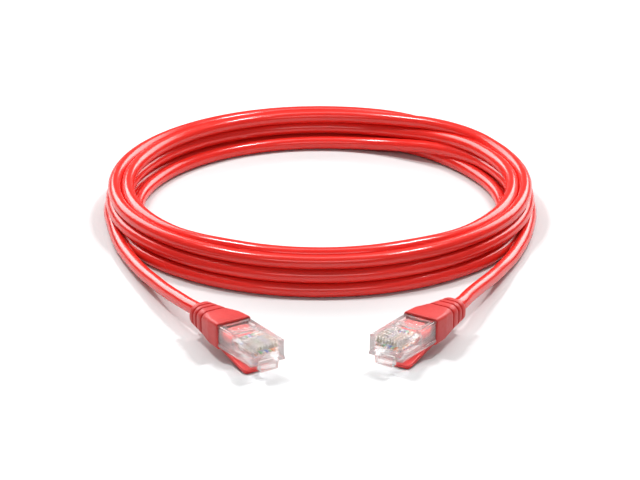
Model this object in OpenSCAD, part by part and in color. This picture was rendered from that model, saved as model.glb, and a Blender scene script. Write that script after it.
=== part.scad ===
// Network patch cable: a coiled slim round cord with a booted eight-way
// modular plug on each end. Millimetres, +Z up, the coil and the latch
// guards stand on z = 0. The origin is under the middle of the two plugs.
//
// Each plug is drawn in its own frame: +X out of the nose, +Y to the left,
// +Z up, with x = 0 at the nose face and z = 0 at the underside of the
// housing. at_plug() then places it.

/* [Cord] */
// Outer diameter of the cord
cord_d = 4.4; // [4.2:0.1:4.5]
// Radius of the top outer turn, to its centre line
turn_r = 68; // [64:0.5:72]
// How much further out each lower layer of the coil lies
layer_step = 0.8; // [0:0.1:1.2]

/* [Plug housing] */
// Length of the housing, nose face to back
plug_l = 22.6; // [21.5:0.1:24]
// Width of the housing
plug_w = 11.68; // [11.6:0.01:11.7]
// Height of the housing without its latch
plug_h = 6.6; // [6.5:0.05:6.7]
// Height of the underside of both housings over the surface
plug_z = 5.5; // [5.5:0.1:6.5]

/* [Contacts] */
// Distance from one contact to the next
pitch = 1.02; // [1.0:0.01:1.04]
// Thickness of a contact blade
blade_t = 0.3; // [0.25:0.01:0.35]

/* [Wires] */
// Outer diameter of one insulated wire
wire_d = 0.74; // [0.6:0.02:0.76]
// Diameter of the copper conductor
core_d = 0.38; // [0.3:0.02:0.4]

/* [Latch] */
// Angle of the free latch below the housing
latch_angle = 7; // [6:0.5:8]
// Width of the latch at its catch
latch_w = 5.9; // [5.8:0.05:6.1]

/* [Boot] */
// Length of the boot
boot_l = 20; // [19:0.5:22]
// Width of the boot at its front
boot_w = 11.9; // [11.8:0.1:12.4]
// How far the boot's top stands over the housing
boot_rise = 0.6; // [0.5:0.05:0.9]
// Width of the latch guard
guard_w = 8; // [7.5:0.1:8.4]

/* [Hidden] */
$fn = 48;
eps = 0.01;
cord_r = cord_d / 2;

// The coil: two columns of turns with one more turn at the foot inside.
coil_at = [-2.4, 113.4, 0];
turns_high = 3;
foot_out_r = turn_r + 2 * layer_step;
foot_in_r = foot_out_r - 2 * cord_d;
top_in_r = turn_r - cord_d;
coil_h = turns_high * cord_d;

// Nose positions and headings of the two plugs.
nose_left = [-17.6, -17.6];
nose_right = [16.8, -14.1];
heading_left = -57.6;
heading_right = -123.7;
// Each plug lies with its nose a little up.
plug_tilt = 1.5;

// Housing: stations along X, all behind the nose face.
rib_h = 0.9;
rib_out = 0.3;
top_chamfer = 0.35;
nose_wall = 0.9;
row_z = 3.2;
row_half_w = 4.25;
row_h = 1.8;
fan_back_x = -12.3;
fan_front_x = -8.4;
cable_half_w = 4.1;
cable_floor_z = 0.8;
cable_roof_z = 5.4;
window_x = [-17.3, -12.9];
window_half_w = 3.9;
slot_w = blade_t + 0.14;
slot_back_x = -6.3;
slot_foot_z = 4.4;
boot_front_x = -19.2;
boot_back_x = boot_front_x - boot_l;
axis_z = 3.1;

// Nose lug under the front of the housing, where the latch starts.
lug_x = [-1.7, 0.9];
lug_z = [-1.9, 1.6];
lug_half_w = [2.8, 3.3];

// Latch: hinge line, catch and lever, measured back from the hinge.
latch_hinge = [-2.3, -0.7];
latch_knuckle_r = 0.5;
catch_l = 6.2;
catch_t = 1.3;
lever_l = 9.8;
lever_w = 3.2;
lever_t = 0.9;

// Latch guard: hinge line under the boot and the tongue in front of it.
guard_hinge = [-20.2, -1.6];
guard_knuckle_r = 0.72;
guard_drop = 13.3;
guard_l = 13.9;
guard_t = 1.3;
guard_corner = 1.7;
hinge_gap = 0.1;

// Boot sections: [x, half width, z low, z high, corner radius].
boot_low_z = -1.25;
boot_top_z = plug_h + boot_rise;
boot_front = [boot_front_x, boot_w / 2, boot_low_z, boot_top_z, 1];
boot_waist = [boot_front_x - 5.5, boot_w / 2 - 0.15, boot_low_z, boot_top_z - 0.15, 1.3];
boot_neck = [boot_front_x - 11.1, 4.95, -1.2, 6.75, 2.4];
boot_end = [boot_back_x, 4.1, -0.7, 6.2, 3];
ring_grooves = [boot_front_x - 11.1, boot_front_x - 14.7, boot_front_x - 17.1];
groove_l = 0.7;
groove_depth = 0.6;
slice_l = 0.04;

// Jacket end inside the plug and the wires that fan out of it.
jacket_end_x = -12.4;
jacket_wall = 0.36;
strip_x = -15;
wire_start_x = -14.6;
wire_split_x = -12.2;
wire_spread_x = -8.9;
wire_flat_x = -8.1;
wire_end_x = -0.95;
bundle_step = 0.92;
bundle_rise = 0.42;
core_back_x = -6;
core_end_x = -0.85;

// Routes of the two free stretches, from the boot to the coil.
route_left = [
    [-40.4, 18.5, 7.3], [-42.1, 21.5, 6.9], [-45.8, 28.6, 6.1],
    [-49.9, 36.8, 5.1], [-53.9, 46.0, 4.1], [-58.1, 55.8, 3.2],
    [-62.3, 67.0, 2.6], [-66.7, 80.9, 2.2], [-69.8, 96.0, 2.2],
    [-72.0, 113.4, 2.2],
];
route_right = [
    [40.9, 23.0, 7.2], [43.4, 30.0, 6.5], [47.3, 39.6, 5.4],
    [51.4, 49.4, 4.2], [55.7, 61.4, 2.8], [60.0, 73.1, 2.4],
    [64.8, 91.5, 2.2], [67.2, 113.4, 2.2],
];
cord_sides = 10;
wire_sides = 12;

// ---- sweeping a round tube along a route ----

function unit(v) = v / norm(v);

// Direction of the route at point i.
function along(p, i) = unit(p[min(i + 1, len(p) - 1)] - p[max(i - 1, 0)]);

function ring_at(p, t, r, n) =
    let (side = unit(cross(t, [0, 0, 1])), rise = cross(side, t))
    [for (k = [0 : n - 1]) p + r * (cos(360 * k / n) * side + sin(360 * k / n) * rise)];

// Tube of n sides; the two end directions can be given.
module tube(p, r, n, first, last) {
    m = len(p);
    t = [for (i = [0 : m - 1]) i == 0 ? first : i == m - 1 ? last : along(p, i)];
    points = [for (i = [0 : m - 1]) each ring_at(p[i], t[i], r, n)];
    walls = [for (i = [0 : m - 2], k = [0 : n - 1])
        [i * n + k, i * n + (k + 1) % n, (i + 1) * n + (k + 1) % n, (i + 1) * n + k]];
    start = [for (k = [n - 1 : -1 : 0]) k];
    end = [for (k = [0 : n - 1]) (m - 1) * n + k];
    polyhedron(points, concat([start], walls, [end]));
}

// ---- placing things ----

function heading(side) = side == "left" ? heading_left : heading_right;
function nose(side) = side == "left" ? nose_left : nose_right;

// A point of the plug's frame, in the frame of the whole part.
function placed(side, v) =
    let (
        a = heading(side), n = nose(side), t = plug_tilt,
        x = v[0] * cos(t) - v[2] * sin(t), z = v[0] * sin(t) + v[2] * cos(t)
    )
    [n[0] + x * cos(a) - v[1] * sin(a), n[1] + x * sin(a) + v[1] * cos(a), plug_z + z];

module at_plug(side) {
    n = nose(side);
    translate([n[0], n[1], plug_z]) rotate([0, -plug_tilt, heading(side)]) children();
}

// A box between two stations of X, over a half width, between two heights.
module block(x, half_w, z) {
    translate([x[0], -half_w, z[0]]) cube([x[1] - x[0], 2 * half_w, z[1] - z[0]]);
}

// A side view [x, z], extruded across the plug.
module across(width) {
    translate([0, width / 2, 0]) rotate([90, 0, 0]) linear_extrude(width) children();
}

// A front view [y, z], extruded forwards from x.
module forwards(x, length) {
    translate([x, 0, 0]) rotate([90, 0, 90]) linear_extrude(length) children();
}

function row_y(i) = (3.5 - i) * pitch;

// ---- cord ----

module coil() {
    color("#e83a2e") translate(coil_at) rotate_extrude($fn = 96) {
        polygon([
            [foot_in_r, 0], [foot_out_r, 0], [foot_out_r + cord_r, cord_r],
            [turn_r + cord_r, coil_h - cord_r], [turn_r, coil_h], [top_in_r, coil_h],
            [top_in_r - cord_r, coil_h - cord_r], [foot_in_r - cord_r, cord_r],
        ]);
    }
}

module tail(side, route) {
    back = [placed(side, [boot_back_x, 0, axis_z])];
    out = placed(side, [boot_back_x - 1, 0, axis_z]) - back[0];
    color("#e83a2e") tube(concat(back, route), cord_r, cord_sides, unit(out), [0, 1, 0]);
}

module jacket_end(side) {
    color("#e83a2e") at_plug(side) translate([0, 0, axis_z]) rotate([0, 90, 0]) difference() {
        translate([0, 0, boot_back_x]) cylinder(r = cord_r, h = jacket_end_x - boot_back_x);
        translate([0, 0, strip_x]) cylinder(r = cord_r - jacket_wall, h = jacket_end_x - strip_x + 1);
    }
}

// ---- wires ----

// Route of wire i: two rows of four in the jacket, one flat row at the nose.
function wire_route(i) =
    let (
        up = i % 2 == 0 ? bundle_rise : -bundle_rise,
        y = (1.5 - floor(i / 2)) * bundle_step
    )
    [
        [wire_start_x, y, axis_z + up], [wire_split_x, y, axis_z + up],
        [wire_spread_x, row_y(i), axis_z + up], [wire_flat_x, row_y(i), row_z],
        [wire_end_x, row_y(i), row_z],
    ];

module wire(side, i, shade) {
    color(shade) at_plug(side) difference() {
        tube(wire_route(i), wire_d / 2, wire_sides, [1, 0, 0], [1, 0, 0]);
        translate([core_back_x, row_y(i), row_z]) rotate([0, 90, 0])
            cylinder(d = core_d, h = 6, $fn = 24);
    }
}

module copper_cores(side) {
    color("#b87333") at_plug(side) for (i = [0 : 7])
        translate([core_back_x, row_y(i), row_z]) rotate([0, 90, 0])
            cylinder(d = core_d, h = core_end_x - core_back_x, $fn = 24);
}

// ---- plug ----

blade_x = [-5.9, -0.55];
blade_z = [4.35, 5.95];
blade_corner = 0.8;
tooth_x = [-2.3, -4.3];
tooth_half_w = 0.4;
tooth_z = 3.3;

module contact_blades(side) {
    color("#c9a04a") at_plug(side) for (i = [0 : 7])
        translate([0, row_y(i), 0]) across(blade_t) polygon(concat(
            [[blade_x[0], blade_z[0]]],
            [for (t = [tooth_x[1], tooth_x[0]])
                each [[t - tooth_half_w, blade_z[0]], [t, tooth_z], [t + tooth_half_w, blade_z[0]]]],
            [[blade_x[1], blade_z[0]]],
            [for (a = [0 : 15 : 90]) [
                blade_x[1] - blade_corner * (1 - cos(a)),
                blade_z[1] - blade_corner * (1 - sin(a)),
            ]],
            [[blade_x[0], blade_z[1]]]
        ));
}

load_bar_x = [-8.0, -6.5];

module load_bar(side) {
    color("#d8e4ea") at_plug(side) difference() {
        block(load_bar_x, row_half_w - 0.1, [row_z - row_h / 2 + 0.1, row_z + row_h / 2 - 0.1]);
        for (i = [0 : 7]) translate([load_bar_x[0] - 1, row_y(i), row_z])
            rotate([0, 90, 0]) cylinder(d = wire_d + 0.08, h = 4, $fn = 24);
    }
}

bar_gap = 0.25;
bar_z = [5.0, 6.05];

module strain_relief_bar(side) {
    color("#d8e4ea") at_plug(side) across(2 * (window_half_w - bar_gap)) polygon([
        [window_x[0] + bar_gap, bar_z[0] + 0.4], [window_x[0] + bar_gap + 0.5, bar_z[0]],
        [window_x[1] - bar_gap, bar_z[0]], [window_x[1] - bar_gap, bar_z[1] - 0.4],
        [window_x[1] - bar_gap - 0.5, bar_z[1]], [window_x[0] + bar_gap, bar_z[1]],
    ]);
}

// Outline of the housing from the front.
module housing_outline() {
    w = plug_w / 2 - rib_out;
    polygon([
        [-w, 0], [w, 0], [w, plug_h - top_chamfer], [w - top_chamfer, plug_h],
        [top_chamfer - w, plug_h], [-w, plug_h - top_chamfer],
    ]);
}

groove_x = [[-11.8, -10.9], [-9.9, -8.7]];
groove_half_w = 4.7;
groove_z = plug_h - 0.6;
band_x = [-20.6, -18.3];
band_z = plug_h - 0.35;

module plug_housing(side) {
    color("#dfe9ee", 0.45) at_plug(side) {
        difference() {
            union() {
                forwards(-plug_l, plug_l) housing_outline();
                // a rib low along each side, as far as the boot
                block([boot_front_x + 0.4, 0], plug_w / 2, [0, rib_h]);
            }
            // room for the cord, the fan of wires and the flat row
            block([-plug_l - 1, fan_back_x], cable_half_w, [cable_floor_z, cable_roof_z]);
            block([fan_back_x - eps, fan_front_x], row_half_w, [1.9, 4.4]);
            block([fan_front_x - eps, -nose_wall], row_half_w,
                [row_z - row_h / 2, row_z + row_h / 2]);
            // contact slots, open to the top and the nose
            for (i = [0 : 7]) translate([0, row_y(i), 0]) {
                block([slot_back_x, -nose_wall], slot_w / 2, [row_z, plug_h + 1]);
                block([-nose_wall - eps, 1], slot_w / 2, [slot_foot_z, plug_h + 1]);
            }
            // window over the cord, grooves between the ridges, rear band
            block(window_x, window_half_w, [cable_roof_z - eps, plug_h + 1]);
            for (x = groove_x) block(x, groove_half_w, [groove_z, plug_h + 1]);
            block(band_x, groove_half_w, [band_z, plug_h + 1]);
        }
        forwards(lug_x[0], lug_x[1] - lug_x[0]) polygon([
            [-lug_half_w[0], lug_z[0]], [lug_half_w[0], lug_z[0]],
            [lug_half_w[1], lug_z[1]], [-lug_half_w[1], lug_z[1]],
        ]);
    }
}

module latch(side) {
    color("#dfe9ee", 0.45) at_plug(side) translate([latch_hinge[0], 0, latch_hinge[1]])
        rotate([0, -latch_angle, 0]) {
            rotate([90, 0, 0]) cylinder(r = latch_knuckle_r, h = latch_w, center = true);
            // wide part with a catch step at its end
            across(latch_w) polygon([
                [0, -latch_knuckle_r], [0, latch_knuckle_r], [-catch_l, lever_t / 2],
                [-catch_l, lever_t / 2 - catch_t], [-catch_l + 2, lever_t / 2 - catch_t],
            ]);
            // narrow lever with a thinned tip
            across(lever_w) polygon([
                [-catch_l + 1, lever_t / 2], [-lever_l, lever_t / 2],
                [-lever_l, 0], [-lever_l + 1.2, -lever_t / 2], [-catch_l + 1, -lever_t / 2],
            ]);
        }
}

// ---- boot ----

// Rounded rectangle in the front view: half width, two heights, corner.
module section(half_w, low, high, r) {
    translate([-half_w + r, low]) square([2 * (half_w - r), high - low]);
    translate([-half_w, low + r]) square([2 * half_w, high - low - 2 * r]);
    for (y = [r - half_w, half_w - r], z = [low + r, high - r])
        translate([y, z]) circle(r, $fn = 32);
}

module boot_slice(s, shrink = 0) {
    forwards(s[0] - slice_l / 2, slice_l)
        section(s[1] - shrink, s[2] + shrink, s[3] - shrink, s[4] - shrink / 2);
}

// Section of the ringed part at a station.
function ring_section(x) =
    let (t = (x - boot_neck[0]) / (boot_end[0] - boot_neck[0]))
    [for (i = [0 : 4]) boot_neck[i] + t * (boot_end[i] - boot_neck[i])];

module boot_shape() {
    hull() {
        boot_slice(boot_front);
        boot_slice(boot_waist);
    }
    hull() {
        boot_slice(boot_waist);
        boot_slice(ring_section(ring_grooves[0] + groove_l / 2));
    }
    // core under the rings, and the rings parted by grooves
    hull() {
        boot_slice(boot_neck, groove_depth);
        boot_slice(boot_end, groove_depth);
    }
    for (k = [0 : len(ring_grooves) - 1]) {
        back = k < len(ring_grooves) - 1 ? ring_grooves[k + 1] + groove_l / 2 : boot_back_x + 0.6;
        hull() {
            boot_slice(ring_section(ring_grooves[k] - groove_l / 2));
            boot_slice(ring_section(back));
        }
    }
}

module boot(side) {
    color("#e0433a") at_plug(side) difference() {
        boot_shape();
        // seat of the housing and bore for the cord
        block([-plug_l - 0.02, boot_front_x + 1], plug_w / 2 - rib_out + 0.02, [-0.02, plug_h + 0.02]);
        translate([boot_back_x - 1, 0, axis_z]) rotate([0, 90, 0])
            cylinder(r = cord_r + 0.03, h = boot_l);
        // room for the root of the latch guard
        translate([guard_hinge[0], 0, guard_hinge[1]]) rotate([90, 0, 0])
            cylinder(r = guard_knuckle_r + hinge_gap, h = guard_w + 0.6, center = true);
        block([guard_hinge[0], boot_front_x + 1], guard_w / 2 + 0.3, [boot_low_z - 1, -0.65]);
    }
}

module latch_guard(side) {
    color("#e0433a") at_plug(side) translate([guard_hinge[0], 0, guard_hinge[1]])
        rotate([0, guard_drop, 0]) {
            rotate([90, 0, 0]) cylinder(r = guard_knuckle_r, h = guard_w, center = true);
            intersection() {
                // side view: a plate with a rounded lip
                across(guard_w + 1) union() {
                    translate([0, -guard_t / 2]) square([guard_l - guard_t / 2, guard_t]);
                    translate([guard_l - guard_t / 2, 0]) circle(guard_t / 2);
                }
                // plan view: rounded front corners
                translate([0, 0, -guard_t]) linear_extrude(2 * guard_t) {
                    translate([0, -guard_w / 2]) square([guard_l - guard_corner, guard_w]);
                    translate([0, guard_corner - guard_w / 2])
                        square([guard_l, guard_w - 2 * guard_corner]);
                    for (s = [-1, 1])
                        translate([guard_l - guard_corner, s * (guard_w / 2 - guard_corner)])
                            circle(guard_corner);
                }
            }
        }
}

// ---- nodes ----

coil();
tail("left", route_left);  // tail_left
tail("right", route_right);  // tail_right

boot("left");  // boot_left
latch_guard("left");  // latch_guard_left
plug_housing("left");  // plug_housing_left
latch("left");  // latch_left
contact_blades("left");  // contact_blades_left
load_bar("left");  // load_bar_left
strain_relief_bar("left");  // strain_relief_bar_left
jacket_end("left");  // jacket_end_left
copper_cores("left");  // copper_cores_left
wire("left", 0, "#f4d3b0");  // wire_white_orange_left
wire("left", 1, "#e8761c");  // wire_orange_left
wire("left", 2, "#cfe6cf");  // wire_white_green_left
wire("left", 3, "#2456b8");  // wire_blue_left
wire("left", 4, "#ccd9f0");  // wire_white_blue_left
wire("left", 5, "#2c8a3c");  // wire_green_left
wire("left", 6, "#e2d3c4");  // wire_white_brown_left
wire("left", 7, "#7a4a24");  // wire_brown_left

boot("right");  // boot_right
latch_guard("right");  // latch_guard_right
plug_housing("right");  // plug_housing_right
latch("right");  // latch_right
contact_blades("right");  // contact_blades_right
load_bar("right");  // load_bar_right
strain_relief_bar("right");  // strain_relief_bar_right
jacket_end("right");  // jacket_end_right
copper_cores("right");  // copper_cores_right
wire("right", 0, "#f4d3b0");  // wire_white_orange_right
wire("right", 1, "#e8761c");  // wire_orange_right
wire("right", 2, "#cfe6cf");  // wire_white_green_right
wire("right", 3, "#2456b8");  // wire_blue_right
wire("right", 4, "#ccd9f0");  // wire_white_blue_right
wire("right", 5, "#2c8a3c");  // wire_green_right
wire("right", 6, "#e2d3c4");  // wire_white_brown_right
wire("right", 7, "#7a4a24");  // wire_brown_right
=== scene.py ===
"""A coiled network patch lead with a booted clear plug at each end."""
import math

import bmesh
import bpy
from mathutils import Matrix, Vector


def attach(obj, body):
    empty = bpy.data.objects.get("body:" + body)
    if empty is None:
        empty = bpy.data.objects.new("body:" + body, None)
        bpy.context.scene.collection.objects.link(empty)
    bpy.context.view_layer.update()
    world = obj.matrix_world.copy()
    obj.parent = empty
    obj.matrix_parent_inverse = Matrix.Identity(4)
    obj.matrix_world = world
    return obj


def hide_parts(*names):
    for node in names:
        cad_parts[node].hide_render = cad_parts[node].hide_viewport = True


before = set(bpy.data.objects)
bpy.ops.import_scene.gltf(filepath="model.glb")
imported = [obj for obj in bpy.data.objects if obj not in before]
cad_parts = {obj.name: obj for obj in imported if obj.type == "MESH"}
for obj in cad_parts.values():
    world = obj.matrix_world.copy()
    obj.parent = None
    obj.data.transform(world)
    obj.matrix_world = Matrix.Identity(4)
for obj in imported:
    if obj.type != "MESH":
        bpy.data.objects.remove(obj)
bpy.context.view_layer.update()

# Sizes and places are in millimetres, as in the CAD, and MM turns them into metres.
MM = 0.001
SIDES = ("left", "right")

# ---- the plug's own frame: +X out of the nose, +Y to its left, +Z up ----

PLUG_Z = 5.5
NOSE = {"left": (-17.6, -17.6), "right": (16.8, -14.1)}
HEADING = {"left": -57.6, "right": -123.7}
PLUG_TILT = 1.5
AXIS_Z = 3.1
BOOT_FRONT_X = -19.2
BOOT_BACK_X = -39.2
GUARD_HINGE = (-20.2, -1.6)
GUARD_DROP = 13.3
GUARD_L = 13.9
GUARD_W = 8.0
GUARD_T = 1.3
GUARD_CORNER = 1.7
GUARD_KNUCKLE = 0.72
# Stations along the guard from its hinge, and close to its tip, measured back from it.
GUARD_ALONG = [-0.71, -0.66, -0.5, -0.25, 0, 0.3, 0.6, 1.2, 3, 5, 7, 9, 11]
GUARD_TIP = (0.08, 0.02, 0.003)
GUARD_EDGE = 0.45
GUARD_EDGE_SHARE = 0.9
LEAST_SQUARE = 1e-4

# Boot sections: x, half width, lowest z, highest z, corner radius.
BOOT_SECTIONS = [
    (-19.2, 5.95, -1.25, 7.2, 1.0), (-24.7, 5.8, -1.25, 7.05, 1.3),
    (-30.3, 4.95, -1.2, 6.75, 2.4), (-39.2, 4.1, -0.7, 6.2, 3.0),
]
BOOT_GROOVES = (-30.3, -33.9, -36.3)
BOOT_PLAIN_XS = (-22.5, -24.2, -24.7, -25.3, -27, -28.8)
BOOT_LEAST_CORNER = 0.5
# The seat for the housing: its rear x, half width, lowest z, highest z.
BOOT_SEAT = (-22.62, 5.56, -0.02, 6.62)
SEAT_CORNER = 0.3
SEAT_XS = (BOOT_SEAT[0], BOOT_FRONT_X - 0.3, BOOT_FRONT_X)
BOOT_BORE = 2.23
BORE_XS = (BOOT_BACK_X, BOOT_BACK_X + 0.2, -30, BOOT_SEAT[0] - 0.05)
# How far the skin lies in, at a distance from the middle of a groove.
GROOVE_SHAPE = [(0, 0.6), (0.14, 0.59), (0.24, 0.5), (0.32, 0.25), (0.42, 0.07), (0.58, 0)]
# The same for the rounded front lip and rear end, from the end inwards.
LIP_SHAPE = [(0, 0.3), (0.06, 0.14), (0.16, 0.04), (0.32, 0)]
REAR_SHAPE = [(0, 1.1), (0.08, 0.7), (0.25, 0.35), (0.55, 0.1), (0.95, 0)]
# Recess under the boot for the root of the latch guard.
RECESS_BACK_X = -21.05
RECESS_HALF_W = 4.3
RECESS_Z = -0.65
RECESS_STEP = 0.01

# Jacket inside the plug, pressed from round to flat between two stations.
JACKET_END_X = -12.4
JACKET_WALL = 0.36
JACKET_SIDES = 32
STRIP_X = -15
PRESS_X = (-21.5, -17.0)
PRESSED_W = 3.7
PRESSED_H = 1.75
JACKET_XS = (-38.2, -30, -24, -22, -21, -20, -19, -18, -17, -16, -14, -13, -12.7, -12.5, -12.4)
JACKET_INSIDE_XS = (JACKET_END_X, -12.6, STRIP_X)
JACKET_LIP = 0.12
# How square the outline is: 2 is a circle or an ellipse.
ROUND = 2
PRESSED = 3

# ---- the cord ----

CORD_R = 2.2
COIL_AT = (-2.4, 113.4)
TURNS = 6.5
CORD_STEP = 2.5
UV_LENGTH = 10.0
RING_STEP = 3
CORD_SIDES = 24

ROUTE_LEFT = [
    (-40.4, 18.5, 7.3), (-42.1, 21.5, 6.9), (-45.8, 28.6, 6.1),
    (-49.9, 36.8, 5.1), (-53.9, 46.0, 4.1), (-58.1, 55.8, 3.2),
    (-62.3, 67.0, 2.6), (-66.7, 80.9, 2.2), (-69.8, 96.0, 2.2),
    (-72.0, 113.4, 2.2),
]
ROUTE_RIGHT = [
    (40.9, 23.0, 7.2), (43.4, 30.0, 6.5), (47.3, 39.6, 5.4),
    (51.4, 49.4, 4.2), (55.7, 61.4, 2.8), (60.0, 73.1, 2.4),
    (64.8, 91.5, 2.2), (67.2, 113.4, 2.2),
]

# Places in the heap of turns: radius and height of the cord's centre line.
FOOT_OUT = (69.6, 2.2)
FOOT_IN = (65.2, 2.2)
FOOT_INMOST = (60.8, 2.2)
MID_OUT = (68.8, 6.6)
MID_IN = (64.4, 6.6)
TOP_OUT = (68.0, 11.0)
TOP_IN = (63.6, 11.0)
TOP_INMOST = (61.4, 11.0)

# From the middle of the back to the right side all the turns shift together by one
# place of this ring, and are pushed apart where they pass each other.
HEAP = [FOOT_OUT, FOOT_IN, FOOT_INMOST, MID_IN, TOP_IN, TOP_OUT, MID_OUT]
BACK_START = 88
BACK_END = 178
SMOOTH_REACH = 4
SETTLE_ROUNDS = 80

# At the front some turns shift between two angles, and shift back as far before
# the left side: {turn: (from, to, first angle, last angle)}.
FRONT_MOVES = {
    0: (FOOT_IN, FOOT_OUT, 185, 222),
    1: (FOOT_INMOST, FOOT_IN, 190, 230),
    2: (MID_IN, MID_IN, 200, 220),
    3: (TOP_IN, TOP_INMOST, 222, 246),
    4: (TOP_OUT, TOP_OUT, 200, 220),
    5: (MID_OUT, MID_OUT, 200, 220),
}


def ease(value, start, end):
    """0 before start, 1 after end, and smooth between them."""
    t = min(max((value - start) / (end - start), 0), 1)
    return t * t * (3 - 2 * t)


def between(a, b, t):
    return (a[0] + (b[0] - a[0]) * t, a[1] + (b[1] - a[1]) * t)


def settled(places):
    """The same places, pushed apart until no two cords overlap or sink."""
    places = [list(place) for place in places]
    for _ in range(SETTLE_ROUNDS):
        for i, a in enumerate(places):
            for b in places[:i]:
                dx, dz = a[0] - b[0], a[1] - b[1]
                gap = math.hypot(dx, dz)
                push = (2 * CORD_R - gap) / 2
                if push <= 0:
                    continue
                a[0] += dx / gap * push
                a[1] += dz / gap * push
                b[0] -= dx / gap * push
                b[1] -= dz / gap * push
        for place in places:
            place[1] = max(place[1], CORD_R)
    return places


def back_heap():
    """Places of all turns at each step round the back, smoothed along it."""
    heaps = []
    for angle in range(0, 181, RING_STEP):
        t = ease(angle, BACK_START, BACK_END)
        heaps.append(settled(
            [between(a, b, t) for a, b in zip(HEAP, HEAP[1:] + HEAP[:1])]
        ))
    smooth = []
    last = len(heaps) - 1
    for i in range(len(heaps)):
        reach = min(SMOOTH_REACH, i, last - i)
        near = heaps[i - reach:i + reach + 1]
        smooth.append([
            [sum(heap[turn][axis] for heap in near) / len(near) for axis in (0, 1)]
            for turn in range(len(HEAP))
        ])
    return smooth


def place_at(turn, angle, heaps):
    """Where a turn of the coil is in the heap, at an angle from the left side."""
    if angle > 180:
        start, end, first, last = FRONT_MOVES[turn]
        return between(start, end, ease(min(angle, 540 - angle), first, last))
    return heaps[angle // RING_STEP][turn]


def coil_points():
    """The whole winding, from the left side round the back to the right side."""
    points = []
    heaps = back_heap()
    for step in range(round(TURNS * 360 / RING_STEP) + 1):
        total = step * RING_STEP
        turn = min(total // 360, int(TURNS))
        angle = total - 360 * turn
        radius, height = place_at(turn, angle, heaps)
        a = math.radians(angle)
        points.append(Vector((
            COIL_AT[0] - radius * math.cos(a), COIL_AT[1] + radius * math.sin(a), height,
        )))
    return points


def smooth_path(points, step, first=None, last=None):
    """Points about a step apart on a smooth curve through the given ones."""
    points = [Vector(p) for p in points]
    ends = len(points) - 1
    ways = [(points[min(i + 1, ends)] - points[max(i - 1, 0)]).normalized()
            for i in range(len(points))]
    ways[0] = Vector(first) if first else ways[0]
    ways[-1] = Vector(last) if last else ways[-1]
    path = []
    for a, b, way_a, way_b in zip(points, points[1:], ways, ways[1:]):
        gap = (b - a).length
        count = max(1, round(gap / step))
        for k in range(count):
            t = k / count
            path.append(
                a * (2 * t**3 - 3 * t**2 + 1) + way_a * gap * (t**3 - 2 * t**2 + t)
                + b * (3 * t**2 - 2 * t**3) + way_b * gap * (t**3 - t**2)
            )
    path.append(points[-1])
    return path


def at_plug(side, x, y, z):
    """A point of the plug's frame, in the frame of the whole part, in millimetres."""
    a = math.radians(HEADING[side])
    t = math.radians(PLUG_TILT)
    out = x * math.cos(t) - z * math.sin(t)
    up = x * math.sin(t) + z * math.cos(t)
    return Vector((
        NOSE[side][0] + out * math.cos(a) - y * math.sin(a),
        NOSE[side][1] + out * math.sin(a) + y * math.cos(a),
        PLUG_Z + up,
    ))


def tail_points(side, route):
    """From 1 mm inside the boot to the coil."""
    start = [at_plug(side, BOOT_BACK_X + 1, 0, AXIS_Z), at_plug(side, BOOT_BACK_X, 0, AXIS_Z)]
    back = (start[1] - start[0]).normalized()
    return smooth_path(start + [Vector(p) for p in route], CORD_STEP, back, (0, 1, 0))


def cord_points():
    left = tail_points("left", ROUTE_LEFT)
    right = tail_points("right", ROUTE_RIGHT)
    return left[:-1] + coil_points() + right[-2::-1]


# ---- meshes ----


def tube_mesh(name, path, radius, sides):
    """A closed round tube along a path, with U around it and V along it."""
    rings, run = [], [0.0]
    for i, point in enumerate(path):
        way = (path[min(i + 1, len(path) - 1)] - path[max(i - 1, 0)]).normalized()
        side = way.cross(Vector((0, 0, 1))).normalized()
        rise = side.cross(way)
        if i:
            run.append(run[-1] + (point - path[i - 1]).length)
        rings.append([
            point + radius * (math.cos(a) * side + math.sin(a) * rise)
            for a in (2 * math.pi * k / sides for k in range(sides))
        ])
    verts = [v * MM for ring in rings for v in ring]
    faces, uvs = [], []
    for i in range(len(path) - 1):
        for k in range(sides):
            n = (k + 1) % sides
            faces.append((i * sides + k, (i + 1) * sides + k, (i + 1) * sides + n, i * sides + n))
            low, high = run[i] / UV_LENGTH, run[i + 1] / UV_LENGTH
            uvs += [(k / sides, low), (k / sides, high),
                    ((k + 1) / sides, high), ((k + 1) / sides, low)]
    last = (len(path) - 1) * sides
    faces += [tuple(range(sides)), tuple(range(last + sides - 1, last - 1, -1))]
    uvs += [(0.5, 0.5)] * (2 * sides)
    mesh = bpy.data.meshes.new(name)
    mesh.from_pydata(verts, [], faces)
    layer = mesh.uv_layers.new(name="UVMap")
    for loop, uv in zip(layer.data, uvs):
        loop.uv = uv
    mesh.shade_smooth()
    return mesh


LOFT_SHARP_FROM = 38


def loft(name, rings, closed):
    """A skin over rings of equally many points: joined end to start, or capped."""
    count, sides = len(rings), len(rings[0])
    faces = []
    for i in range(count if closed else count - 1):
        j = (i + 1) % count
        for k in range(sides):
            n = (k + 1) % sides
            faces.append((i * sides + k, j * sides + k, j * sides + n, i * sides + n))
    if not closed:
        last = (count - 1) * sides
        faces += [tuple(range(sides)), tuple(range(last + sides - 1, last - 1, -1))]
    mesh = bpy.data.meshes.new(name)
    mesh.from_pydata([p * MM for ring in rings for p in ring], [], faces)
    skin = bmesh.new()
    skin.from_mesh(mesh)
    bmesh.ops.recalc_face_normals(skin, faces=skin.faces)
    skin.to_mesh(mesh)
    skin.free()
    mesh.shade_smooth()
    mesh.set_sharp_from_angle(angle=math.radians(LOFT_SHARP_FROM))
    return mesh


CORNER_POINTS = 7
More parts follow.
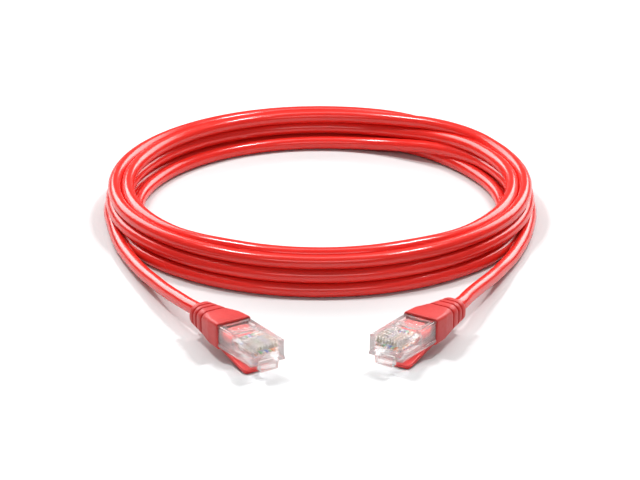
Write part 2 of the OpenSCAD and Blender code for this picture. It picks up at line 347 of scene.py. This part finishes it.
# Points along the bottom of a section whose flat stretch is twice FRONT_FLAT wide, as at
# the boot's front. In a narrower section they are closer together.
BOTTOM_YS = (-4.31, -4.29, -2, 0, 2, 4.29, 4.31)
FRONT_FLAT = 4.95


def section_ring(half_w, low, high, r, recess=False):
    """A rounded rectangle seen from the front, as (y, z), bottom first."""
    flat = (half_w - r) / FRONT_FLAT
    ring = []
    for y in BOTTOM_YS:
        inside = recess and abs(y) < RECESS_HALF_W
        ring.append((y * min(flat, 1), RECESS_Z if inside else low))
    corners = [(1, low, 270), (1, high, 0), (-1, high, 90), (-1, low, 180)]
    for side, edge, start in corners:
        middle = edge + r if edge == low else edge - r
        for k in range(CORNER_POINTS):
            a = math.radians(start + 90 * k / (CORNER_POINTS - 1))
            ring.append((side * (half_w - r) + r * math.cos(a), middle + r * math.sin(a)))
    return ring


def boot_section(x):
    """The section of the boot at a station, between the given ones."""
    for a, b in zip(BOOT_SECTIONS, BOOT_SECTIONS[1:]):
        if x >= b[0] - 1e-6:
            t = (x - a[0]) / (b[0] - a[0])
            t = min(max(t, 0), 1)
            return [a[i] + (b[i] - a[i]) * t for i in range(1, 5)]
    return BOOT_SECTIONS[-1][1:]


def boot_stations():
    """(x, how far the skin lies in) from the front to the rear."""
    stations = [(BOOT_FRONT_X - d, inset) for d, inset in LIP_SHAPE]
    stations += [(RECESS_BACK_X + RECESS_STEP, 0), (RECESS_BACK_X - RECESS_STEP, 0)]
    stations += [(x, 0) for x in BOOT_PLAIN_XS]
    for groove in BOOT_GROOVES:
        for d, inset in GROOVE_SHAPE[:0:-1]:
            stations.append((groove + d, inset))
        for d, inset in GROOVE_SHAPE:
            stations.append((groove - d, inset))
    stations += [(BOOT_BACK_X + d, inset) for d, inset in REAR_SHAPE[::-1]]
    return stations


def bore_ring():
    """Points round the bore that face those of the boot's rear section."""
    ring = []
    for y, z in section_ring(*BOOT_SECTIONS[-1][1:]):
        a = math.atan2(z - AXIS_Z, y)
        ring.append((BOOT_BORE * math.cos(a), AXIS_Z + BOOT_BORE * math.sin(a)))
    return ring


def boot_mesh(side):
    """One skin: outside from the front, rear end, bore, seat, and back to the front."""
    rings = []
    for x, inset in boot_stations():
        half_w, low, high, r = boot_section(x)
        r = max(r - inset / 2, BOOT_LEAST_CORNER)
        recess = x > RECESS_BACK_X
        ring = section_ring(half_w - inset, low + inset, high - inset, r, recess)
        rings.append([at_plug(side, x, y, z) for y, z in ring])
    bore = bore_ring()
    for x in BORE_XS:
        rings.append([at_plug(side, x, y, z) for y, z in bore])
    seat = section_ring(*BOOT_SEAT[1:], SEAT_CORNER)
    for x in SEAT_XS:
        rings.append([at_plug(side, x, y, z) for y, z in seat])
    return loft("boot_" + side, rings, closed=True)


def pressed_ring(half_w, half_h, squareness):
    """A rounded outline round the cord's axis, from a circle to a pressed oval."""
    ring = []
    for k in range(JACKET_SIDES):
        a = 2 * math.pi * (k + 0.5) / JACKET_SIDES
        y, z = math.cos(a), math.sin(a)
        power = 2 / squareness
        ring.append((
            half_w * math.copysign(abs(y) ** power, y),
            AXIS_Z + half_h * math.copysign(abs(z) ** power, z),
        ))
    return ring


def jacket_end_mesh(side):
    """Jacket inside the plug: round in the boot, pressed flat under the bar, open in front."""
    rings = []
    for x in JACKET_XS:
        t = ease(x, *PRESS_X)
        inset = JACKET_LIP if x == JACKET_END_X else 0
        half_w = CORD_R + (PRESSED_W - CORD_R) * t - inset
        half_h = CORD_R + (PRESSED_H - CORD_R) * t - inset
        ring = pressed_ring(half_w, half_h, ROUND + (PRESSED - ROUND) * t)
        rings.append([at_plug(side, x, y, z) for y, z in ring])
    for x in JACKET_INSIDE_XS:
        ring = pressed_ring(PRESSED_W - JACKET_WALL, PRESSED_H - JACKET_WALL, PRESSED)
        rings.append([at_plug(side, x, y, z) for y, z in ring])
    return loft("jacket_end_" + side, rings, closed=False)


def tongue_point(side, along, y, lift):
    """A point of the latch guard, measured from its hinge line."""
    a = math.radians(GUARD_DROP)
    x = GUARD_HINGE[0] + along * math.cos(a) + lift * math.sin(a)
    z = GUARD_HINGE[1] - along * math.sin(a) + lift * math.cos(a)
    return at_plug(side, x, y, z)


def tongue_mesh(side):
    """A plate with a rounded lip and corners, thicker at its hinge."""
    half_t = GUARD_T / 2
    corner = [GUARD_L - GUARD_CORNER * math.cos(math.radians(a)) for a in range(0, 90, 10)]
    stations = GUARD_ALONG + corner + [GUARD_L - d for d in GUARD_TIP]
    rings = []
    for u in stations:
        over = max(u - (GUARD_L - GUARD_CORNER), 0)
        half_w = GUARD_W / 2 - GUARD_CORNER + math.sqrt(max(GUARD_CORNER**2 - over**2, 0))
        near = min(GUARD_L - u, half_t)
        half_h = math.sqrt(max(half_t**2 - (half_t - near) ** 2, LEAST_SQUARE))
        root = math.sqrt(max(GUARD_KNUCKLE**2 - u**2, LEAST_SQUARE)) if u < GUARD_KNUCKLE else 0
        half_h = root if u < 0 else max(half_h, root)
        r = min(GUARD_EDGE, half_h * GUARD_EDGE_SHARE)
        ring = section_ring(half_w, -half_h, half_h, r)
        rings.append([tongue_point(side, u, y, z) for y, z in ring])
    return loft("latch_guard_" + side, rings, closed=False)


def add(name, mesh, body, material):
    """One piece of the visual model, riding on a body."""
    piece = bpy.data.objects.new(name, mesh)
    bpy.context.collection.objects.link(piece)
    mesh.materials.clear()
    mesh.materials.append(material)
    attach(piece, body)
    return piece


# ---- materials ----


def new_look(name, colour, roughness, **sockets):
    """A material with its Principled shader's own values set."""
    look = bpy.data.materials.new(name)
    look.use_nodes = True
    shader = look.node_tree.nodes["Principled BSDF"]
    shader.inputs["Base Color"].default_value = (*colour, 1)
    shader.inputs["Roughness"].default_value = roughness
    for socket, value in sockets.items():
        shader.inputs[socket.replace("_", " ")].default_value = value
    return look, shader


def coordinates(look, kind="Object", scale=(1, 1, 1)):
    nodes, links = look.node_tree.nodes, look.node_tree.links
    source = nodes.new("ShaderNodeTexCoord")
    mapping = nodes.new("ShaderNodeMapping")
    mapping.inputs["Scale"].default_value = scale
    links.new(source.outputs[kind], mapping.inputs["Vector"])
    return mapping.outputs["Vector"]


def noise(look, vector, scale, detail=3.0):
    nodes, links = look.node_tree.nodes, look.node_tree.links
    texture = nodes.new("ShaderNodeTexNoise")
    texture.inputs["Scale"].default_value = scale
    texture.inputs["Detail"].default_value = detail
    links.new(vector, texture.inputs["Vector"])
    return texture.outputs["Fac"]


def colour_from(look, shader, factor, low, high, start=0.35, end=0.65):
    """Base colour that goes from low to high with a factor."""
    nodes, links = look.node_tree.nodes, look.node_tree.links
    ramp = nodes.new("ShaderNodeValToRGB")
    for element, position, colour in zip(ramp.color_ramp.elements, (start, end), (low, high)):
        element.position = position
        element.color = (*colour, 1)
    links.new(factor, ramp.inputs["Fac"])
    links.new(ramp.outputs["Color"], shader.inputs["Base Color"])
    return ramp.outputs["Color"]


def roughness_from(look, shader, factor, low, high):
    nodes, links = look.node_tree.nodes, look.node_tree.links
    spread = nodes.new("ShaderNodeMapRange")
    spread.inputs["From Min"].default_value = 0.3
    spread.inputs["From Max"].default_value = 0.7
    spread.inputs["To Min"].default_value = low
    spread.inputs["To Max"].default_value = high
    links.new(factor, spread.inputs["Value"])
    links.new(spread.outputs["Result"], shader.inputs["Roughness"])


def bump_from(look, shader, heights):
    """Bump from one or more (height, depth in millimetres, strength)."""
    nodes, links = look.node_tree.nodes, look.node_tree.links
    normal = None
    for height, depth, strength in heights:
        bump = nodes.new("ShaderNodeBump")
        bump.inputs["Distance"].default_value = depth * MM
        bump.inputs["Strength"].default_value = strength
        links.new(height, bump.inputs["Height"])
        if normal is not None:
            links.new(normal, bump.inputs["Normal"])
        normal = bump.outputs["Normal"]
    links.new(normal, shader.inputs["Normal"])


RED_DEEP = (0.72, 0.018, 0.012)
RED = (0.81, 0.026, 0.018)
BOOT_DEEP = (0.50, 0.016, 0.014)
BOOT_RED = (0.60, 0.026, 0.022)


def jacket_look():
    """Smooth glossy PVC, with faint draw lines along it and a soft grain."""
    look, shader = new_look("jacket_pvc", RED, 0.15, Specular_IOR_Level=0.6)
    space = coordinates(look)
    colour_from(look, shader, noise(look, space, 25), RED_DEEP, RED, 0.3, 0.7)
    roughness_from(look, shader, noise(look, space, 220), 0.15, 0.23)
    lines = noise(look, coordinates(look, "UV", (20, 0.3, 1)), 1.0, 2)
    grain = noise(look, space, 1500, 2)
    bump_from(look, shader, [(lines, 0.02, 0.15), (grain, 0.006, 0.12)])
    return look


def end_look():
    """The cut end of the jacket inside the plug; it has no UV, so no draw lines."""
    look, shader = new_look("jacket_end_pvc", RED, 0.25, Specular_IOR_Level=0.55)
    space = coordinates(look)
    colour_from(look, shader, noise(look, space, 90), RED_DEEP, RED, 0.3, 0.7)
    roughness_from(look, shader, noise(look, space, 400), 0.2, 0.32)
    bump_from(look, shader, [(noise(look, space, 1500, 2), 0.008, 0.15)])
    return look


def boot_look():
    """Satin moulded PVC with a fine spark-eroded grain."""
    look, shader = new_look("boot_pvc", BOOT_RED, 0.45, Specular_IOR_Level=0.5)
    space = coordinates(look)
    colour_from(look, shader, noise(look, space, 160), BOOT_DEEP, BOOT_RED, 0.3, 0.7)
    roughness_from(look, shader, noise(look, space, 900), 0.38, 0.5)
    bump_from(look, shader, [
        (noise(look, space, 260, 2), 0.03, 0.15),
        (noise(look, space, 3600, 3), 0.012, 0.4),
    ])
    return look


def clear_look():
    """Clear polycarbonate, with faint flow marks; light passes through it to what is inside."""
    look, shader = new_look(
        "clear_polycarbonate", (1.0, 0.975, 0.965), 0.02,
        Transmission_Weight=0.9, IOR=1.4, Coat_Weight=0.6, Coat_Roughness=0.02, Alpha=0.8,
    )
    space = coordinates(look)
    roughness_from(look, shader, noise(look, space, 420), 0.01, 0.035)
    bump_from(look, shader, [(noise(look, space, 260, 2), 0.008, 0.06)])
    nodes, links = look.node_tree.nodes, look.node_tree.links
    rays = nodes.new("ShaderNodeLightPath")
    through = nodes.new("ShaderNodeBsdfTransparent")
    through.inputs["Color"].default_value = (0.93, 0.94, 0.95, 1)
    mix = nodes.new("ShaderNodeMixShader")
    links.new(rays.outputs["Is Shadow Ray"], mix.inputs["Fac"])
    links.new(shader.outputs["BSDF"], mix.inputs[1])
    links.new(through.outputs["BSDF"], mix.inputs[2])
    links.new(mix.outputs["Shader"], nodes["Material Output"].inputs["Surface"])
    return look


def metal_look(name, dark, bright):
    """Plated or drawn metal with fine scratches."""
    look, shader = new_look(name, bright, 0.25, Metallic=1.0)
    space = coordinates(look)
    colour_from(look, shader, noise(look, space, 700), dark, bright)
    roughness_from(look, shader, noise(look, space, 1500), 0.18, 0.34)
    bump_from(look, shader, [(noise(look, space, 5000, 2), 0.006, 0.4)])
    return look


WIRE_DARKER = 0.82
RING_SCALE = 170
RING_WAVER = 0.6


def wire_look(name, colour, ring=None):
    """Smooth insulation, with coloured rings printed along the white ones."""
    look, shader = new_look(name, colour, 0.35)
    space = coordinates(look)
    dark = tuple(c * WIRE_DARKER for c in colour)
    base = colour_from(look, shader, noise(look, space, 500), dark, colour)
    roughness_from(look, shader, noise(look, space, 1200), 0.28, 0.42)
    bump_from(look, shader, [(noise(look, space, 3000, 2), 0.01, 0.3)])
    if ring:
        nodes, links = look.node_tree.nodes, look.node_tree.links
        wave = nodes.new("ShaderNodeTexWave")
        wave.bands_direction = "Y"
        wave.inputs["Scale"].default_value = RING_SCALE
        wave.inputs["Distortion"].default_value = RING_WAVER
        links.new(space, wave.inputs["Vector"])
        # Sockets 6 and 7 are the two colours that this node mixes by socket 0.
        mix = nodes.new("ShaderNodeMix")
        mix.data_type = "RGBA"
        mix.inputs[7].default_value = (*ring, 1)
        links.new(wave.outputs["Fac"], mix.inputs[0])
        links.new(base, mix.inputs[6])
        links.new(mix.outputs[2], shader.inputs["Base Color"])
    return look


def floor_look():
    """Plain white paper, barely mottled."""
    look, shader = new_look("floor_white", (0.66, 0.66, 0.66), 0.7, Specular_IOR_Level=0.1)
    mottle = noise(look, coordinates(look), 3)
    colour_from(look, shader, mottle, (0.655, 0.657, 0.66), (0.665, 0.665, 0.665))
    return look


# ---- stage ----


# The stage's sizes and places are in metres.
FLOOR_HALF = 6.0
FLOOR_Z = -0.0001
LIT_AT = (0, 0.09, 0)


def add_floor():
    """A plain floor just under the cord."""
    half = FLOOR_HALF
    mesh = bpy.data.meshes.new("floor")
    corners = [(-half, -half, 0), (half, -half, 0), (half, half, 0), (-half, half, 0)]
    mesh.from_pydata(corners, [], [(0, 1, 2, 3)])
    mesh.materials.append(floor_look())
    floor = bpy.data.objects.new("floor", mesh)
    bpy.context.collection.objects.link(floor)
    floor.location.z = FLOOR_Z


def add_softbox(name, offset, size, power):
    """A softbox at an offset from the place that all of them are turned to."""
    target = Vector(LIT_AT)
    place = target + Vector(offset)
    light = bpy.data.lights.new(name, "AREA")
    light.shape = "RECTANGLE"
    light.size, light.size_y = size
    light.energy = power
    lamp = bpy.data.objects.new(name, light)
    lamp.location = place
    lamp.rotation_euler = (target - place).to_track_quat("-Z", "Y").to_euler()
    bpy.context.collection.objects.link(lamp)


SKY_LOW = 0.1
SKY_HIGH = 0.2
SKY_TOP = 0.8


def add_world():
    """Studio surroundings: darker low down, paler overhead."""
    world = bpy.data.worlds.new("studio")
    bpy.context.scene.world = world
    world.use_nodes = True
    nodes, links = world.node_tree.nodes, world.node_tree.links
    source = nodes.new("ShaderNodeTexCoord")
    split = nodes.new("ShaderNodeSeparateXYZ")
    spread = nodes.new("ShaderNodeMapRange")
    spread.inputs["From Min"].default_value = 0.0
    spread.inputs["From Max"].default_value = SKY_TOP
    spread.inputs["To Min"].default_value = SKY_LOW
    spread.inputs["To Max"].default_value = SKY_HIGH
    background = nodes["Background"]
    background.inputs["Color"].default_value = (1, 1, 1, 1)
    links.new(source.outputs["Generated"], split.inputs["Vector"])
    links.new(split.outputs["Z"], spread.inputs["Value"])
    links.new(spread.outputs["Result"], background.inputs["Strength"])


# Softboxes: name, offset, size and power. The paired ones also stand mirrored.
PAIRED_BOXES = [
    ("box", (0.34, 0.1, 0.8), (0.07, 0.12), 3.8),
    ("wide", (0.6, 0.85, 0.6), (0.8, 0.6), 8.0),
]
SINGLE_BOXES = [
    ("box_above", (0, 0.3, 1.2), (0.7, 0.5), 2.6),
    ("box_front", (0, -1.2, 0.75), (1.4, 0.25), 4.0),
]


def add_lights():
    for side, sign in zip(SIDES, (-1, 1)):
        for name, (x, y, z), size, power in PAIRED_BOXES:
            add_softbox(name + "_" + side, (sign * x, y, z), size, power)
    for name, offset, size, power in SINGLE_BOXES:
        add_softbox(name, offset, size, power)
    add_world()


# The target and the distance are in the part's millimetres.
CAMERA_TARGET = (-2.4, 90.2, 0.0)
CAMERA_RISE = 22.45
CAMERA_AWAY = 1000.0
CAMERA_LENS = 172.7
CAMERA_SENSOR = 36
CAMERA_NEAR = 0.01


def add_camera():
    data = bpy.data.cameras.new("camera")
    data.lens = CAMERA_LENS
    data.sensor_width = CAMERA_SENSOR
    data.clip_start = CAMERA_NEAR
    camera = bpy.data.objects.new("camera", data)
    rise = math.radians(CAMERA_RISE)
    back = Vector((0, -math.cos(rise), math.sin(rise))) * CAMERA_AWAY
    camera.location = (Vector(CAMERA_TARGET) + back) * MM
    camera.rotation_euler = (math.pi / 2 - rise, 0, 0)
    bpy.context.collection.objects.link(camera)
    bpy.context.scene.camera = camera


# ---- pieces ----


def add_cord(look):
    path = cord_points()
    mesh = tube_mesh("cord", path, CORD_R, CORD_SIDES)
    cord = add("cord", mesh, "lead", look)
    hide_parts("coil", "tail_left", "tail_right")


def dress_node(name, look):
    """A CAD node keeps its shape and takes a better material."""
    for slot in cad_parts[name].material_slots:
        slot.material = look


BEVEL = 0.09
BEVEL_STEPS = 2
BEVEL_FROM = 30
FLAT_WITHIN = 1
WELD = 1e-6
EASED_SHARP_FROM = 35


def bevelled_mesh(name):
    """A CAD node's shape with its sharp edges eased. Its mesh is in metres."""
    skin = bmesh.new()
    skin.from_mesh(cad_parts[name].data)
    bmesh.ops.remove_doubles(skin, verts=skin.verts, dist=WELD)
    bmesh.ops.dissolve_limit(
        skin, angle_limit=math.radians(FLAT_WITHIN), verts=skin.verts, edges=skin.edges,
    )
    sharp = [e for e in skin.edges
             if len(e.link_faces) == 2 and e.calc_face_angle() > math.radians(BEVEL_FROM)]
    bmesh.ops.bevel(
        skin, geom=sharp, offset=BEVEL * MM, segments=BEVEL_STEPS, profile=0.5,
        affect="EDGES", clamp_overlap=True,
    )
    bmesh.ops.triangulate(skin, faces=[f for f in skin.faces if len(f.verts) > 4])
    mesh = bpy.data.meshes.new(name + "_eased")
    skin.to_mesh(mesh)
    skin.free()
    mesh.shade_smooth()
    mesh.set_sharp_from_angle(angle=math.radians(EASED_SHARP_FROM))
    return mesh


def add_eased(name, body, look):
    piece = add(name + "_eased", bevelled_mesh(name), body, look)
    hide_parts(name)


WIRE_COLOURS = {
    "orange": (0.75, 0.2, 0.02), "green": (0.03, 0.3, 0.06),
    "blue": (0.03, 0.1, 0.55), "brown": (0.2, 0.07, 0.025),
}
WIRE_WHITE = (0.82, 0.8, 0.76)


def add_plug(side, looks):
    boot = add("boot_" + side + "_skin", boot_mesh(side), "lead", looks["boot"])
    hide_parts("boot_" + side)
    tongue = add("latch_guard_" + side + "_skin", tongue_mesh(side), "guard_" + side,
                 looks["boot"])
    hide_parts("latch_guard_" + side)
    add_eased("plug_housing_" + side, "lead", looks["clear"])
    add_eased("latch_" + side, "latch_" + side, looks["clear"])
    add_eased("load_bar_" + side, "lead", looks["clear"])
    add_eased("strain_relief_bar_" + side, "lead", looks["clear"])
    end = add("jacket_end_" + side + "_pressed", jacket_end_mesh(side), "lead",
              looks["end"])
    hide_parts("jacket_end_" + side)
    dress_node("contact_blades_" + side, looks["gold"])
    dress_node("copper_cores_" + side, looks["copper"])
    for shade in WIRE_COLOURS:
        dress_node("wire_%s_%s" % (shade, side), looks[shade])
        dress_node("wire_white_%s_%s" % (shade, side), looks["white_" + shade])


def plug_looks():
    looks = {
        "boot": boot_look(),
        "clear": clear_look(),
        "end": end_look(),
        "gold": metal_look("gold_contact", (0.30, 0.19, 0.04), (0.62, 0.42, 0.11)),
        "copper": metal_look("bare_copper", (0.55, 0.24, 0.12), (0.85, 0.42, 0.25)),
    }
    for shade, colour in WIRE_COLOURS.items():
        looks[shade] = wire_look("wire_" + shade, colour)
        looks["white_" + shade] = wire_look("wire_white_" + shade, WIRE_WHITE, colour)
    return looks


add_camera()
bpy.context.scene.view_settings.view_transform = "Standard"
add_floor()
add_lights()
jacket = jacket_look()
add_cord(jacket)
looks = plug_looks()
for side in SIDES:
    add_plug(side, looks)
